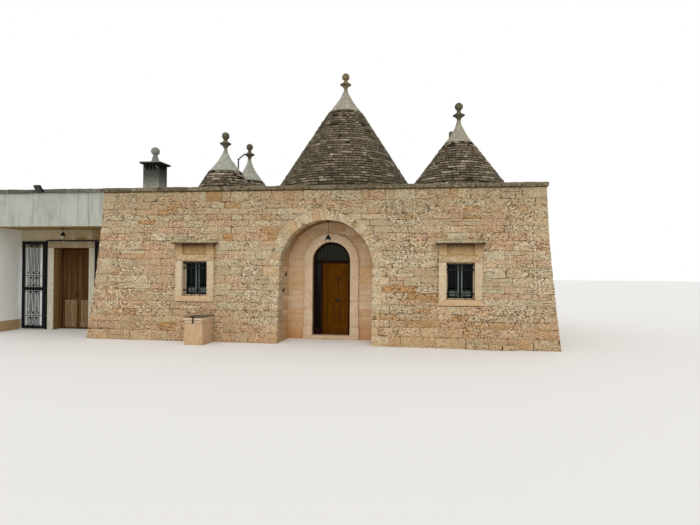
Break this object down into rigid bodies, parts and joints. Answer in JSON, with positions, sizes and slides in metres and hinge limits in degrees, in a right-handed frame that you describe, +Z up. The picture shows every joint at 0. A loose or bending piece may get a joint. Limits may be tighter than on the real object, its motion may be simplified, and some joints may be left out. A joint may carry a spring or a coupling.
{
  "type": "trullo house",
  "caption": "Stone house with stepped conical roofs, arched entrance niche, barred windows and a plastered porch wing with an iron gate.",
  "frame": {"origin": "middle of the house's footprint, at ground level", "axes": "+Z up, +X along the front from the porch wing towards the stone block's free end, +Y from the front to the back"},
  "size_m": [16.544, 8.487, 8.573],
  "materials": {
    "limestone_block": "weathered coursed limestone blocks",
    "cone_slabs": "dry laid grey limestone slabs with lichen",
    "cap_mortar": "smoothed lime mortar, weathered",
    "carved_stone": "carved limestone under dark lichen",
    "coping_stone": "weathered stone slabs",
    "cut_stone": "smooth cut limestone",
    "terrace_screed": "lime screed",
    "floor_stone": "plain limestone paving",
    "plaster": "white lime plaster, matt",
    "door_wood": "varnished brown wood",
    "wing_door_wood": "weathered brown wood",
    "sash_wood": "dark green paint",
    "iron": "black painted wrought iron",
    "brass": "aged brass",
    "glass": "window glass",
    "green_glass": "dark green glass",
    "lamp_glass": "clear lamp glass"
  },
  "bodies": {
    "house": {"front_wall_left": "limestone_block", "front_wall_right": "limestone_block", "niche_arch_wall": "limestone_block", "door_wall_left": "limestone_block", "door_wall_right": "limestone_block", "door_wall_arch": "limestone_block", "left_wall": "limestone_block", "right_wall": "limestone_block", "back_wall": "limestone_block", "floors": "floor_stone", "terrace_left": "terrace_screed", "terrace_middle": "terrace_screed", "terrace_right": "terrace_screed", "copings": "coping_stone", "main_cone": "cone_slabs", "right_cone": "cone_slabs", "left_cone": "cone_slabs", "rear_cone": "cone_slabs", "cone_caps": "cap_mortar", "finials": "carved_stone", "chimney_shaft": "coping_stone", "chimney_cap": "carved_stone", "roof_pipe": "iron", "window_surrounds": "cut_stone", "window_hoods": "coping_stone", "window_sashes": "sash_wood", "window_glass": "glass", "window_grilles": "iron", "door_surround": "cut_stone", "threshold": "cut_stone", "door_frame": "door_wood", "door_glass": "green_glass", "lamps": "iron", "lamp_glass": "lamp_glass", "cistern": "cut_stone", "cistern_lid": "coping_stone", "footing_course": "limestone_block", "wing_left_wall": "plaster", "wing_back_wall": "plaster", "porch_wall_left": "plaster", "porch_wall_right": "plaster", "porch_wall_over": "plaster", "porch_beam": "plaster", "wing_roof": "terrace_screed", "wing_door_surround": "cut_stone", "wing_door_frame": "wing_door_wood", "gate_frame": "iron", "floodlight": "iron"},
    "front_door": {"front_door": "door_wood", "door_knocker": "brass"},
    "wing_door_left": {"wing_door_left": "wing_door_wood"},
    "wing_door_right": {"wing_door_right": "wing_door_wood"},
    "gate_left": {"gate_left": "iron"},
    "gate_right": {"gate_right": "iron"}
  },
  "joints": [
    {"name": "front_door_hinge", "type": "hinge", "parent": "house", "child": "front_door", "pos_m": [2.7675, -2.2105, 1.2], "axis": [0, 0, -1], "range_deg": [0, 90]},
    {"name": "wing_door_left_hinge", "type": "hinge", "parent": "house", "child": "wing_door_left", "pos_m": [-6.7495, -1.4455, 1.2], "axis": [0, 0, 1], "range_deg": [0, 90]},
    {"name": "wing_door_right_hinge", "type": "hinge", "parent": "house", "child": "wing_door_right", "pos_m": [-5.6345, -1.4455, 1.2], "axis": [0, 0, -1], "range_deg": [0, 90]},
    {"name": "gate_left_hinge", "type": "hinge", "parent": "house", "child": "gate_left", "pos_m": [-7.033, -1.9345, 1.4], "axis": [0, 0, 1], "range_deg": [0, 180]},
    {"name": "gate_right_hinge", "type": "hinge", "parent": "house", "child": "gate_right", "pos_m": [-5.351, -1.9345, 1.4], "axis": [0, 0, -1], "range_deg": [0, 150]}
  ]
}
